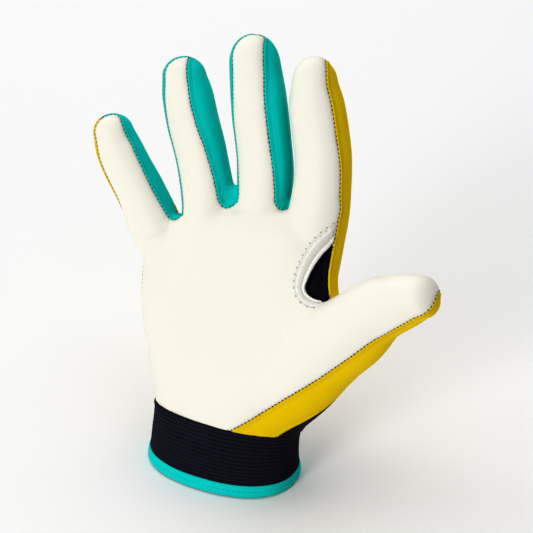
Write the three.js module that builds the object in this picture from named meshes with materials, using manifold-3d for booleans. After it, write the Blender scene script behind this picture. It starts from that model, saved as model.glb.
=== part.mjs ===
// Gaelic football glove for the right hand, shown worn with the fingers spread.
// Millimetres. X points to the thumb side, -Y is the palm side and Z points up the hand.
// The origin is the centre of the wrist opening, on the lower edge of the hem.
import * as THREE from "three";
import { mergeVertices } from "three/addons/utils/BufferGeometryUtils.js";
import Module from "manifold-3d";

const wasm = await Module();
wasm.setup();
const { Manifold, Mesh } = wasm;

// Thicknesses and gaps
const wall = 1.8;
const bindingRise = 0.9;
const hemRise = 0.7;
const seamGap = 0.3;
const sideGap = 0.4;

// Facets round the hand, round a digit and along a digit's rounded tip
const handFacets = 26;
const digitFacets = 12;
const tipRows = 2;

// Cutting: steps across a sector, its reach past the surface, and how far behind the middle of the
// hand or a tip its edges start. The palm strip goes over the tips because of tipCore.
const sectorSteps = 5;
const reach = 1.28;
const handCore = -7;
const tipCore = 3;

// Roundness of the sections, where 2 is an ellipse and more is squarer
const handRoundness = 2.3;
const digitRoundness = 2.1;

// Seams of the palm at the sides of the hand, in degrees from the middle of the palm
const handSeams = { low: -82, high: 66 };

// Looks: smooth coated palm, stretch cloth back and sides, ribbed elastic and woven tape
const palmLook = { color: 0xf6f3e6, roughness: 0.45, metalness: 0 };
const backLook = { color: 0xe8c400, roughness: 0.6, metalness: 0 };
const sideLook = { color: 0x00b8ac, roughness: 0.6, metalness: 0 };
const blackLook = { color: 0x14141c, roughness: 0.85, metalness: 0 };
const tapeLook = { color: 0x00d2c6, roughness: 0.75, metalness: 0 };

// Sections across the hand from the hem to the knuckles, given by their middles.
// slope is the rise of a section per millimetre towards the thumb side,
// and lean its rise per millimetre towards the palm side.
const handRows = [
  { x: 0.1, y: 0, z: 0, wide: 35.2, deep: 22.4, slope: 0, lean: 0 },
  { x: 1.3, y: 0.6, z: 13, wide: 33.6, deep: 21.6, slope: 0, lean: 0.12 },
  { x: 1.8, y: 2.5, z: 25.5, wide: 34.3, deep: 20.5, slope: 0, lean: 0.29 },
  { x: 1.6, y: 5.5, z: 36, wide: 38, deep: 19, slope: 0, lean: 0.36 },
  { x: -2.1, y: 14.4, z: 58, wide: 44.7, deep: 15.2, slope: 0.03, lean: 0.42 },
  { x: -5.3, y: 24.6, z: 82, wide: 47.2, deep: 13.6, slope: 0.1, lean: 0.42 },
  { x: -8.2, y: 28.9, z: 92, wide: 46.6, deep: 13, slope: 0.16, lean: 0.42 },
  { x: -11, y: 32.3, z: 100, wide: 44, deep: 12, slope: 0.22, lean: 0.42 },
  { x: -12, y: 34, z: 104, wide: 41, deep: 10, slope: 0.24, lean: 0.42 },
];

// Digits from root to tip. pad is the way that the finger pad faces and tip is the length of the
// rounded end. low and high are the seams of the palm strip in degrees round the digit from the
// pad, low on the little finger side and high on the thumb side.
const digits = {
  little: {
    pad: [0.2, -1, 0],
    tip: 8.5,
    rows: [
      { x: -38.8, y: 24, z: 81.5, wide: 10.4, deep: 8.5, low: -85, high: 66 },
      { x: -48, y: 28, z: 94.2, wide: 11.8, deep: 10.6, low: -80, high: 62 },
      { x: -56.2, y: 30, z: 108.2, wide: 11.1, deep: 10.2, low: -66, high: 52 },
      { x: -62.8, y: 30.8, z: 118.1, wide: 10.7, deep: 9.6, low: -60, high: 53 },
      { x: -67.8, y: 32.1, z: 126.8, wide: 9.9, deep: 9, low: -58, high: 56 },
      { x: -70.4, y: 32.5, z: 132.8, wide: 8.9, deep: 8.2, low: -56, high: 56 },
    ],
  },
  ring: {
    pad: [-0.2, -1, 0],
    tip: 9,
    rows: [
      { x: -19.9, y: 27, z: 91, wide: 11.4, deep: 11, low: -56, high: 60 },
      { x: -24.5, y: 35.1, z: 110.5, wide: 12, deep: 11, low: -46, high: 57 },
      { x: -30, y: 40, z: 125.6, wide: 11.8, deep: 10.6, low: -40, high: 48 },
      { x: -36.3, y: 43.9, z: 141, wide: 11.5, deep: 10.3, low: -38, high: 42 },
      { x: -39.9, y: 45.6, z: 153.7, wide: 11, deep: 9.8, low: -36, high: 42 },
      { x: -41.3, y: 46, z: 159.3, wide: 10, deep: 9, low: -30, high: 46 },
    ],
  },
  middle: {
    pad: [-0.17, -1, 0],
    tip: 12.5,
    rows: [
      { x: 3.9, y: 30.7, z: 94.7, wide: 11.3, deep: 11, low: -60, high: 62 },
      { x: 1.4, y: 39, z: 114.6, wide: 12.3, deep: 11.3, low: -54, high: 57 },
      { x: -0.2, y: 43, z: 126.9, wide: 12.6, deep: 11.2, low: -44, high: 50 },
      { x: -3.2, y: 46, z: 139.1, wide: 12.4, deep: 11, low: -44, high: 48 },
      { x: -6.6, y: 48.9, z: 155.8, wide: 12.1, deep: 10.6, low: -36, high: 47 },
      { x: -8.7, y: 50.3, z: 168.9, wide: 10.9, deep: 9.8, low: -28, high: 54 },
    ],
  },
  index: {
    pad: [-0.03, -1, 0],
    tip: 11.5,
    rows: [
      { x: 26, y: 30.5, z: 92.8, wide: 10.8, deep: 9, low: -62, high: 66 },
      { x: 27.2, y: 34, z: 104.6, wide: 12.2, deep: 11.2, low: -62, high: 64 },
      { x: 28.3, y: 37.6, z: 116, wide: 12.6, deep: 11.4, low: -60, high: 62 },
      { x: 27.1, y: 43.4, z: 131.9, wide: 12.3, deep: 11, low: -58, high: 61 },
      { x: 23.1, y: 47.9, z: 147.7, wide: 11.9, deep: 10.6, low: -58, high: 60 },
      { x: 20.3, y: 49.8, z: 158.6, wide: 11.2, deep: 10, low: -58, high: 62 },
      { x: 19.2, y: 50.4, z: 164.4, wide: 9.9, deep: 9, low: -60, high: 68 },
    ],
  },
  thumb: {
    pad: [0.25, -0.85, 0.45],
    tip: 6.5,
    rows: [
      { x: 24.9, y: 3.2, z: 36.3, wide: 15.4, deep: 14, low: -90, high: 90 },
      { x: 31.8, y: 5.3, z: 45.4, wide: 16.4, deep: 14.5, low: -90, high: 90 },
      { x: 47.1, y: 9.6, z: 67, wide: 15.7, deep: 14.6, low: -100, high: 90 },
      { x: 54.3, y: 10.5, z: 74.7, wide: 14.5, deep: 13.6, low: -110, high: 90 },
      { x: 66.9, y: 11.1, z: 88.8, wide: 12.4, deep: 11.8, low: -115, high: 90 },
      { x: 74.6, y: 9.8, z: 93.7, wide: 11.8, deep: 11, low: -110, high: 90 },
      { x: 82.3, y: 8.2, z: 98.1, wide: 10.5, deep: 9.8, low: -105, high: 90 },
      { x: 86.9, y: 6.9, z: 100.3, wide: 8.8, deep: 8.4, low: -100, high: 90 },
    ],
  },
};

// The crotches between fingers by height, and how far below them the side strips start
const crotches = {
  littleRing: { first: "little", second: "ring", height: 98.5 },
  ringMiddle: { first: "ring", second: "middle", height: 107 },
  middleIndex: { first: "middle", second: "index", height: 110 },
};
const crotchDepth = 7;

// The side strips: how many degrees round a digit they reach towards its back, how much less at
// its last row, where on the rounded tip they end, how far out from the middle their cuts start,
// and how many degrees per millimetre of gap their cuts widen at the tip
const sideEnd = 122;
const sideNarrowing = 8;
const sideTip = 0.63;
const sideStart = 0.35;
const tipSpread = 40;

// The seam from the cuff up the thumb lies in one slanting plane. The palm is on its upper side.
const thumbSeam = { normal: [-0.699, 0.155, 0.698], offset: 6.8 };

// The seam of the wrist yoke. The yoke is on its lower side.
const yokeSeam = { normal: [-0.09, -0.68, 1], offset: 26.7 };

// The upper edges of the cuff and of the hem
const cuffTop = { normal: [0, 0.29, 1], offset: 26.2 };
const hemTop = { normal: [0, 0, 1], offset: 6 };

// Axes of the cutout between thumb and index finger, which faces the front, the thumb side and up
const cutout = {
  middle: [34, 14, 84],
  right: [0.891, 0.454, 0],
  up: [-0.206, 0.405, 0.891],
};

// Outlines in the cutout's axes: the outer edge of the binding, the opening in the palm that the
// insert fills, the part of the insert behind the thumb, and the strip of the back beside it
const bindingOutline = [
  { right: 16, up: 30 },
  { right: 12.7, up: 29.1 },
  { right: 8.3, up: 27.5 },
  { right: 4.2, up: 23 },
  { right: 0.9, up: 19.2 },
  { right: -2, up: 15.1 },
  { right: -4.1, up: 10.9 },
  { right: -5.5, up: 6.2 },
  { right: -5.1, up: 2 },
  { right: -2.8, up: -2.1 },
  { right: 1.3, up: -4.6 },
  { right: 2.6, up: -4.6 },
  { right: 3.2, up: -2.4 },
  { right: 6.6, up: 0 },
  { right: 8.5, up: 4 },
  { right: 16, up: 14 },
];
const insertOutline = [
  { right: 11.6, up: 24.7 },
  { right: 7.7, up: 20 },
  { right: 4.4, up: 15.9 },
  { right: 1.9, up: 11.7 },
  { right: -0.1, up: 7.5 },
  { right: -0.9, up: 4.2 },
  { right: 0.1, up: 1.3 },
  { right: 3, up: -0.8 },
  { right: 6.3, up: -2 },
  { right: 9.5, up: -1 },
  { right: 9.1, up: 3.4 },
  { right: 8.9, up: 7.6 },
  { right: 9.3, up: 11.7 },
  { right: 10.1, up: 15.9 },
  { right: 10.9, up: 20 },
];
const behindOutline = [
  { right: 4, up: 1 },
  { right: 4, up: -10 },
  { right: 13, up: -11 },
  { right: 14, up: -1 },
  { right: 9.1, up: 3.4 },
];
const edgeOutline = [
  { right: 11.6, up: 24.7 },
  { right: 10.9, up: 20 },
  { right: 10.1, up: 15.9 },
  { right: 9.3, up: 11.7 },
  { right: 8.9, up: 7.6 },
  { right: 9.1, up: 3.4 },
  { right: 16, up: 3.4 },
  { right: 20, up: 24.7 },
];

function vector(x, y, z) {
  return new THREE.Vector3(x, y, z);
}

// A point on an oval section, with angle 0 at the pad and 90 on the thumb side
function ovalPoint(section, degrees, scale) {
  const angle = THREE.MathUtils.degToRad(degrees);
  const power = 2 / section.roundness;
  const side = Math.sign(Math.sin(angle)) * Math.abs(Math.sin(angle)) ** power;
  const front = Math.sign(Math.cos(angle)) * Math.abs(Math.cos(angle)) ** power;
  return section.centre
    .clone()
    .addScaledVector(section.across, section.wide * scale * side)
    .addScaledVector(section.pad, section.deep * scale * front);
}

function ovalRing(section, facets) {
  const ring = [];
  for (let j = 0; j < facets; j += 1) {
    ring.push(ovalPoint(section, (360 * j) / facets, 1));
  }
  return ring;
}

// Sections across the hand, drawn in by inset on every side
function handSections(inset) {
  return handRows.map((row, i) => {
    const last = i === handRows.length - 1;
    return {
      centre: vector(row.x, row.y, row.z - (last ? inset : 0)),
      across: vector(1, 0, row.slope),
      pad: vector(0, -1, row.lean).normalize(),
      wide: row.wide - inset,
      deep: row.deep - inset,
      low: handSeams.low,
      high: handSeams.high,
      core: handCore,
      roundness: handRoundness,
    };
  });
}

// Sections square to the line through the digit's rows
function digitSections(digit, inset) {
  const centres = digit.rows.map((row) => vector(row.x, row.y, row.z));
  const facing = vector(...digit.pad);
  return digit.rows.map((row, i) => {
    const before = centres[Math.max(i - 1, 0)];
    const after = centres[Math.min(i + 1, centres.length - 1)];
    const along = after.clone().sub(before).normalize();
    const pad = facing.clone().addScaledVector(along, -facing.dot(along)).normalize();
    return {
      centre: centres[i],
      along,
      pad,
      across: along.clone().cross(pad),
      wide: row.wide - inset,
      deep: row.deep - inset,
      low: row.low,
      high: row.high,
      core: 0,
      roundness: digitRoundness,
    };
  });
}

// The same section moved along the digit and made smaller
function movedSection(section, distance, scale) {
  return {
    ...section,
    centre: section.centre.clone().addScaledVector(section.along, distance),
    wide: section.wide * scale,
    deep: section.deep * scale,
  };
}

// Smaller sections for the rounded tip of a digit
function tipSections(section, length) {
  const sections = [];
  for (let i = 1; i <= tipRows; i += 1) {
    const turn = (i / (tipRows + 1)) * (Math.PI / 2);
    sections.push(movedSection(section, length * Math.sin(turn), Math.cos(turn)));
  }
  sections.push(movedSection(section, length, 0));
  return sections;
}

// A closed body from a triangle mesh whose faces point outwards
function solid(geometry) {
  geometry.deleteAttribute("normal");
  geometry.deleteAttribute("uv");
  const merged = mergeVertices(geometry, 0.001);
  const source = merged.index.array;
  const kept = [];
  for (let i = 0; i < source.length; i += 3) {
    const [a, b, c] = source.slice(i, i + 3);
    if (a !== b && b !== c && c !== a) {
      kept.push(a, b, c);
    }
  }
  return new Manifold(
    new Mesh({
      numProp: 3,
      vertProperties: new Float32Array(merged.attributes.position.array),
      triVerts: new Uint32Array(kept),
    }),
  );
}

// A closed body through rings of points, each end shut by a fan round its middle
function loft(rings) {
  const count = rings[0].length;
  const points = rings.flat();
  const faces = [];
  for (let i = 0; i + 1 < rings.length; i += 1) {
    for (let j = 0; j < count; j += 1) {
      const a = i * count + j;
      const b = i * count + ((j + 1) % count);
      faces.push(a, b, b + count, a, b + count, a + count);
    }
  }
  const top = (rings.length - 1) * count;
  [rings[0], rings[rings.length - 1]].forEach((ring) => {
    const middle = vector(0, 0, 0);
    ring.forEach((point) => middle.add(point));
    points.push(middle.divideScalar(count));
  });
  for (let j = 0; j < count; j += 1) {
    faces.push((j + 1) % count, j, points.length - 2);
    faces.push(top + j, top + ((j + 1) % count), points.length - 1);
  }
  const geometry = new THREE.BufferGeometry().setFromPoints(points);
  geometry.setIndex(faces);
  return solid(geometry);
}

// The whole form of hand and digits, drawn in by inset on every side
function form(inset) {
  const rings = handSections(inset).map((section) => ovalRing(section, handFacets));
  if (inset > 0) {
    rings.unshift(rings[0].map((point) => point.clone().setZ(-5)));
  }
  return Object.values(digits).reduce((body, digit) => {
    const sections = digitSections(digit, inset);
    sections.push(...tipSections(sections[sections.length - 1], digit.tip - inset));
    return body.add(loft(sections.map((section) => ovalRing(section, digitFacets))));
  }, loft(rings));
}

// The part of a tube between two angles, from near its middle to just beyond its surface.
// start is how far out from the middle it begins, as a share of the tube's half width.
function sector(sections, start, range, grow) {
  const rings = sections.map((section, i) => {
    const [from, to] = range(section, i);
    const spread = THREE.MathUtils.radToDeg(grow / section.deep);
    const outer = reach + (2 * grow) / section.deep;
    const away = ovalPoint(section, (from + to) / 2, 1).sub(section.centre).normalize();
    const ring = [
      section.centre
        .clone()
        .addScaledVector(section.pad, -section.core)
        .addScaledVector(away, start * section.wide - 2 * grow),
    ];
    ring.push(ovalPoint(section, from - spread, 0.8));
    for (let j = 0; j <= sectorSteps; j += 1) {
      const angle = from - spread + ((to - from + 2 * spread) * j) / sectorSteps;
      ring.push(ovalPoint(section, angle, outer));
    }
    ring.push(ovalPoint(section, to + spread, 0.8));
    return ring;
  });
  return loft(rings);
}

// Sections of a digit that carry on past its root and tip at full size, for cutting
function cuttingSections(digit, grow) {
  const sections = digitSections(digit, 0);
  const end = sections[sections.length - 1];
  sections.unshift(movedSection(sections[0], -3 - grow, 1));
  sections.push({ ...movedSection(end, digit.tip * sideTip + grow, 1), core: tipCore });
  sections.push({ ...movedSection(end, digit.tip + 3 + grow, 1), core: tipCore });
  return sections;
}

// The palm side of a digit
function palmStrip(digit, grow) {
  const range = (section) => [section.low, section.high];
  return sector(cuttingSections(digit, grow), 0, range, grow);
}

// The sections from a given height upwards, with a new first one at that height
function sectionsAbove(sections, height) {
  const k = sections.findIndex((section) => section.centre.z > height);
  const [below, above] = [sections[k - 1], sections[k]];
  const share = (height - below.centre.z) / (above.centre.z - below.centre.z);
  const mix = (a, b) => THREE.MathUtils.lerp(a, b, share);
  const first = {
    ...above,
    centre: below.centre.clone().lerp(above.centre, share),
    wide: mix(below.wide, above.wide),
    deep: mix(below.deep, above.deep),
    low: mix(below.low, above.low),
    high: mix(below.high, above.high),
  };
  return [first, ...sections.slice(k)];
}

// One side of a digit from its crotch, narrowing to a point on the rounded tip
function sideStrip(digit, crotch, onThumbSide, grow) {
  const sections = sectionsAbove(cuttingSections(digit, grow), crotch - crotchDepth - grow);
  const last = sections.length - 1;
  sections.pop();
  const range = (section, i) => {
    const seam = onThumbSide ? section.high : -section.low;
    const narrowed = sideEnd - seam - (i === last - 2 ? sideNarrowing : 0);
    const width = i === last - 1 ? 1 + tipSpread * grow : narrowed;
    return onThumbSide ? [seam, seam + width] : [-seam - width, -seam];
  };
  return sector(sections, sideStart, range, grow);
}

// Everything on the lower side of a plane
function belowPlane(plane, shift) {
  const normal = vector(...plane.normal);
  const size = normal.length();
  normal.divideScalar(size);
  const middle = normal.clone().multiplyScalar(plane.offset / size + shift);
  const geometry = new THREE.BoxGeometry(600, 600, 300);
  geometry.translate(0, 0, -150);
  geometry.applyQuaternion(new THREE.Quaternion().setFromUnitVectors(vector(0, 0, 1), normal));
  geometry.translate(middle.x, middle.y, middle.z);
  return solid(geometry);
}

// An outline drawn in the cutout's axes, widened by grow and carried inward between two depths
function prism(outline, from, to, grow) {
  const points = outline.map((point) => new THREE.Vector2(point.right, point.up));
  if (THREE.ShapeUtils.isClockWise(points)) {
    points.reverse();
  }
  const normals = points.map((point, i) => {
    const edge = points[(i + 1) % points.length].clone().sub(point).normalize();
    return new THREE.Vector2(edge.y, -edge.x);
  });
  const widened = points.map((point, i) => {
    const before = normals[(i + points.length - 1) % points.length];
    const mitre = before.clone().add(normals[i]);
    return point.clone().addScaledVector(mitre, grow / Math.max(1 + before.dot(normals[i]), 0.3));
  });
  const geometry = new THREE.ExtrudeGeometry(new THREE.Shape(widened), {
    depth: to - from + 2 * grow,
    bevelEnabled: false,
  });
  geometry.translate(0, 0, -to - grow);
  const right = vector(...cutout.right).normalize();
  const up = vector(...cutout.up).normalize();
  geometry.applyMatrix4(new THREE.Matrix4().makeBasis(right, up, right.clone().cross(up)));
  geometry.translate(...cutout.middle);
  return solid(geometry);
}

// A named mesh made from a body
function part(name, body, look) {
  const mesh = body.getMesh();
  const geometry = new THREE.BufferGeometry();
  geometry.setAttribute("position", new THREE.BufferAttribute(mesh.vertProperties, 3));
  geometry.setIndex(new THREE.BufferAttribute(mesh.triVerts, 1));
  const node = new THREE.Mesh(geometry, new THREE.MeshStandardMaterial(look));
  node.name = name;
  return node;
}

// The hollow form, split at the upper edge of the cuff
const inner = form(wall);
const shell = form(0).subtract(inner);
const glove = shell.subtract(belowPlane(cuffTop, seamGap / 2));

// The palm side up to a margin round it
function palmSide(grow) {
  const hand = handSections(0);
  const end = hand[hand.length - 1];
  hand.push({ ...end, centre: end.centre.clone().add(vector(0, 1, 3 + grow)) });
  const region = Object.values(digits).reduce(
    (body, digit) => body.add(palmStrip(digit, grow)),
    sector(hand, 0, (section) => [section.low, section.high], grow),
  );
  return region
    .subtract(belowPlane(thumbSeam, seamGap / 2 - grow))
    .subtract(prism(edgeOutline, -4, 14, seamGap / 2 - grow));
}

// The strip down one side of a finger, through the crotch and up the side of the next
function sides(crotch, grow) {
  const first = sideStrip(digits[crotch.first], crotch.height, true, grow);
  return first.add(sideStrip(digits[crotch.second], crotch.height, false, grow));
}

function insertRegion(grow) {
  return prism(insertOutline, -30, 8, grow).add(prism(behindOutline, 2.5, 14, grow));
}

const allSides = sides(crotches.littleRing, sideGap)
  .add(sides(crotches.ringMiddle, sideGap))
  .add(sides(crotches.middleIndex, sideGap));
const palmCut = allSides
  .add(insertRegion(seamGap))
  .add(prism(bindingOutline, -30, 8, seamGap));

const palm = glove.intersect(palmSide(0)).subtract(palmCut);
const behind = glove.subtract(palmSide(seamGap)).subtract(allSides).subtract(insertRegion(seamGap));
const back = behind.subtract(belowPlane(yokeSeam, seamGap / 2));
const yoke = behind.intersect(belowPlane(yokeSeam, -seamGap / 2));
const insert = glove.intersect(insertRegion(0)).subtract(allSides);
const binding = form(-bindingRise)
  .subtract(inner)
  .intersect(prism(bindingOutline, -30, 8, 0))
  .intersect(palmSide(0))
  .subtract(insertRegion(seamGap));
const belowCuff = shell.intersect(belowPlane(cuffTop, -seamGap / 2));
const cuff = belowCuff.subtract(belowPlane(hemTop, seamGap));
const hem = form(-hemRise).subtract(inner).intersect(belowPlane(hemTop, 0));

const group = new THREE.Group();
group.name = "glove";
group.add(
  part("palm", palm, palmLook),
  part("back", back, backLook),
  part("fourchette_little_ring", glove.intersect(sides(crotches.littleRing, 0)), sideLook),
  part("fourchette_ring_middle", glove.intersect(sides(crotches.ringMiddle, 0)), sideLook),
  part("fourchette_middle_index", glove.intersect(sides(crotches.middleIndex, 0)), sideLook),
  part("web_insert", insert, blackLook),
  part("web_binding", binding, palmLook),
  part("wrist_yoke", yoke, blackLook),
  part("cuff", cuff, blackLook),
  part("hem_binding", hem, tapeLook),
);

export default group;
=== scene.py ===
import math
from collections import defaultdict, namedtuple
from functools import lru_cache

import bmesh
import bpy
import numpy as np
from bpy.props import FloatProperty, FloatVectorProperty, IntProperty, PointerProperty
from mathutils import Matrix, Vector, noise
from mathutils.bvhtree import BVHTree
from mathutils.kdtree import KDTree


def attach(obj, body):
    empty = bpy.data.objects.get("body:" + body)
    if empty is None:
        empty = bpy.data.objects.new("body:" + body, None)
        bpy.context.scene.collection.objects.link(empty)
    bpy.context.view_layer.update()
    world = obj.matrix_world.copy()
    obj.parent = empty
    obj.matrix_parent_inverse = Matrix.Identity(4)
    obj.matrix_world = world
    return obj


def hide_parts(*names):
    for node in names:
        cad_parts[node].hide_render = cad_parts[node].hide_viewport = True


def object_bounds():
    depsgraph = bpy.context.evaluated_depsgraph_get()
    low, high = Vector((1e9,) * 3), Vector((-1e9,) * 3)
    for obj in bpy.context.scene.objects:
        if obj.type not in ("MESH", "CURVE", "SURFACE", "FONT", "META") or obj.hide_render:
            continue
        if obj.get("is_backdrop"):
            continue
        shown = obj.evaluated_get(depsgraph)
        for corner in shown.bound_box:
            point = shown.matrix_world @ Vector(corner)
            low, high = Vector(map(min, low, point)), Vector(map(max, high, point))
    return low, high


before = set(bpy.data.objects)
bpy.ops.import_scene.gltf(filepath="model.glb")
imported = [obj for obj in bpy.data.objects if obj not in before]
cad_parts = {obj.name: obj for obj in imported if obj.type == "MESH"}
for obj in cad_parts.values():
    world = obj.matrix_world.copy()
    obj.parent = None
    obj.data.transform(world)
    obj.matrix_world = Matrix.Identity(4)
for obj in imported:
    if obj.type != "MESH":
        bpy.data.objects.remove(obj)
CAD_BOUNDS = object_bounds()

bl_info = {
    "name": "Gaelic football glove",
    "version": (1, 0, 0),
    "blender": (4, 5, 0),
    "location": "3D View > Sidebar > Glove",
    "description": "Builds the cloth, tape, elastic and stitches of a gaelic football glove",
    "category": "Object",
}

# Lengths in the tables and in the shape code are millimetres
MM = 0.001

# Sections across the hand from the hem to the knuckles: x, y, z, half width, half depth, and the
# rise of the section per millimetre towards the thumb side and towards the palm side
HAND_ROWS = [
    (1.1, -0.8, 0, 35.2, 23.4, 0, 0),
    (1.5, 0.3, 13, 33.8, 22, 0, 0.12),
    (1.8, 2.5, 25.5, 34.3, 20.5, 0, 0.29),
    (1.6, 5.5, 36, 38, 19, 0, 0.36),
    (-2.1, 14.4, 58, 44.7, 15.2, 0.03, 0.42),
    (-4.7, 24.6, 82, 47.8, 13.6, 0.1, 0.42),
    (-7.7, 28.9, 92, 47.1, 13, 0.16, 0.42),
    (-11, 32.3, 100, 44, 12, 0.22, 0.42),
    (-12, 34, 104, 41, 10, 0.24, 0.42),
]
HAND_TIP = 1.5
HAND_POWER = 2.3
HAND_LOW = -82
HAND_HIGH = 66

# A digit: the way its pad faces, the length of its rounded end, where the palm ends on the tip,
# towards the camera, and where both side strips meet on it, as a share of its half width. Its rows
# are sections from root to tip: x, y, z, half width, half depth, and the palm's seams in degrees
# round it from its pad, low on the little finger side and high on the thumb side.
Digit = namedtuple("Digit", "pad tip rim split rows")
DIGIT_POWER = 2.1
DIGITS = {
    "little": Digit((0.2, -1, 0), 8.5, 3.7, -0.3, [
        (-38.8, 24, 81.5, 10.4, 8.5, -85, 66),
        (-48, 28, 94.2, 11.8, 10.6, -76, 62),
        (-56.2, 30, 108.2, 11, 10.2, -52, 56),
        (-62.8, 30.8, 118.1, 10.8, 9.7, -43, 60),
        (-68.3, 32.1, 126.8, 10.4, 9.2, -39, 61),
        (-70.6, 32.5, 132.8, 9.1, 8.3, -37, 57),
    ]),
    "ring": Digit((-0.2, -1, 0), 9, 3.9, 0.25, [
        (-19.9, 27, 91, 11.4, 11, -42, 60),
        (-24.5, 35.1, 110.5, 12, 11, -30, 62),
        (-30, 40, 125.6, 11.8, 10.6, -34, 55),
        (-36.6, 43.9, 141, 11.9, 10.4, -32, 46),
        (-40.2, 45.6, 153.7, 11.3, 9.9, -25, 44),
        (-41.3, 46, 159.3, 10, 9, -22, 47),
    ]),
    "middle": Digit((-0.17, -1, 0), 12.5, 3.9, 0, [
        (3.9, 30.7, 94.7, 11.3, 11, -46, 62),
        (1.4, 39, 114.6, 12.3, 11.3, -34, 57),
        (-0.2, 43, 126.9, 12.6, 11.2, -42, 50),
        (-3.2, 46, 139.1, 12.4, 11, -42, 48),
        (-6.8, 48.9, 155.8, 12.4, 10.7, -31, 47),
        (-9, 50.3, 168.9, 11.2, 9.9, -25, 56),
    ]),
    "index": Digit((-0.03, -1, 0), 11.5, -1, -0.9, [
        (27.8, 28.3, 84, 12.2, 8.5, -72, 66),
        (28.3, 30.5, 92.8, 13, 9.5, -72, 66),
        (28.3, 34, 104.6, 13.3, 11.4, -74, 64),
        (28.6, 37.6, 116, 12.9, 11.4, -76, 62),
        (27.1, 43.4, 131.9, 12.3, 11, -76, 61),
        (22.9, 47.9, 147.7, 12.2, 10.7, -76, 58),
        (20.1, 49.8, 158.6, 11.5, 10.1, -76, 58),
        (19.2, 50.4, 164.4, 9.9, 9, -76, 57),
    ]),
    "thumb": Digit((0.25, -0.85, 0.45), 6.5, -3, 0, [
        (24.9, 3.2, 36.3, 15.2, 14, -90, 90),
        (31.9, 5.3, 45.3, 16.5, 14.5, -90, 90),
        (47.9, 9.6, 66.3, 16.8, 14.8, -100, 90),
        (55.4, 10.5, 73.8, 16, 14.1, -110, 90),
        (67.7, 11.1, 87.9, 13.4, 12.2, -115, 90),
        (75.1, 9.8, 93.2, 12, 11.2, -110, 90),
        (82.9, 8.2, 98.2, 10.5, 9.9, -105, 90),
        (87.4, 6.9, 100.7, 8.9, 8.5, -100, 90),
    ]),
}

# Cloth that bridges two digits: its middle and its half sizes
WEBS = [(-13.2, 37.5, 106, 5.5, 8, 10.5), (-10.5, 32, 103.5, 6, 7.6, 8)]

# Crotches: the digits on both sides, where their side strips meet at the back, and in the cutout's
# axes the lowest point of their rounded end on the palm and the depth of the crotch
Crotch = namedtuple("Crotch", "first second heel right up depth")
CROTCHES = {
    "fourchette_little_ring": Crotch("little", "ring", (-38.3, 39, 103.5), -57.6, 33.2, 31),
    "fourchette_ring_middle": Crotch("ring", "middle", (-12.5, 44, 112.5), -33.8, 38, 21),
    "fourchette_middle_index": Crotch("middle", "index", (13.2, 45.5, 116), -10, 37.2, 11),
}
HEEL_RADIUS = 4.6
# Degrees round a digit from its pad to the back edge of a strip, on the high and the low side
SIDE_END = {1: 134, -1: 122}

# Planes of the seams: normal and offset
Plane = namedtuple("Plane", "normal offset")
YOKE_SEAM = Plane((-0.25, -0.68, 1), 26.5)
CUFF_TOP = Plane((0, 0.29, 1), 26.2)
# How far the skin goes on under the cuff, and the height of the hem
TUCK = 5
HEM_HEIGHT = 6

# Axes of the cutout between thumb and index finger, which are also those of the camera
CUTOUT_MIDDLE = Vector((34, 14, 84))
VIEW_RIGHT = Vector((0.891, 0.454, 0)).normalized()
VIEW_UP = Vector((-0.206, 0.405, 0.891)).normalized()
VIEW_BACK = VIEW_RIGHT.cross(VIEW_UP)

# Outlines in the cutout's axes, right and up
INSERT_OUTLINE = [
    (11.6, 24.7), (7.7, 20), (4.4, 15.9), (1.9, 11.7), (-0.1, 7.5),
    (-0.9, 4.2), (0.1, 1.3), (3, -0.8), (6.3, -2), (9.5, -1),
    (9.1, 3.4), (8.9, 7.6), (9.3, 11.7), (10.1, 15.9), (10.9, 20),
]
BEHIND_OUTLINE = [(4, 1), (4, -9), (9.2, -10), (9.6, -1), (9.1, 3.4)]
EDGE_OUTLINE = [
    INSERT_OUTLINE[0], *INSERT_OUTLINE[:9:-1], (9.4, -2), (16, -2), (20, 24.7),
]

# The seam from the thumb's tip to the cuff, and then far round the palm
THUMB_OUTLINE = [
    (90, 8), (50.4, 3.5), (49.4, 1.2), (47.9, -2.3), (45.4, -5.2),
    (40.1, -7.9), (34.8, -11.4), (30.2, -14.4), (25.4, -17.2), (15.8, -24.9),
    (4.3, -33.7), (-10, -42.8), (-23.9, -52), (-31.5, -56.3), (-60, -73),
    (-200, -73), (-200, 200), (90, 200),
]

# The tape round the cutout: right and up of its outer edge, and right and up of its inner edge
TAPE_ROWS = [
    (12, 31.4, 11.6, 24.6),
    (7.8, 28.2, 9.9, 21.4),
    (2.6, 23.6, 7, 18.1),
    (-1.9, 16.4, 3.4, 13.2),
    (-4.7, 9.2, 0.7, 7.8),
    (-5.1, 3.9, -0.6, 3.9),
    (-3.8, -0.4, 0.2, 1.8),
    (-0.3, -3.3, 2, 0.2),
    (2.6, -4.2, 4.1, -0.9),
    (5.3, -3.5, 6.4, -1.3),
]

# Soft creases of the palm: right and up of both ends in the cutout's axes, height and width
CREASES = [
    (-73, 22.4, -58, 30.2, -0.35, 1.1),
    (-72, 24.6, -60, 31.5, 0.2, 1.6),
    (-52, 34.5, -40, 36.5, -0.12, 1.5),
    (-30, 37, -16, 37, -0.15, 1.5),
    (8, -8, -12, -34, -0.25, 6),
    (-57.2, 36.8, -53.2, 35.6, -0.45, 0.6),
    (-57, 35.4, -53.8, 34.4, 0.3, 0.8),
    (-35.6, 41.2, -31, 43.2, -0.45, 0.6),
    (-35, 39.8, -31, 41.6, 0.3, 0.8),
    (-13.2, 40.2, -8, 41.2, -0.45, 0.6),
    (-13, 38.9, -8.2, 39.8, 0.3, 0.8),
]

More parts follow.
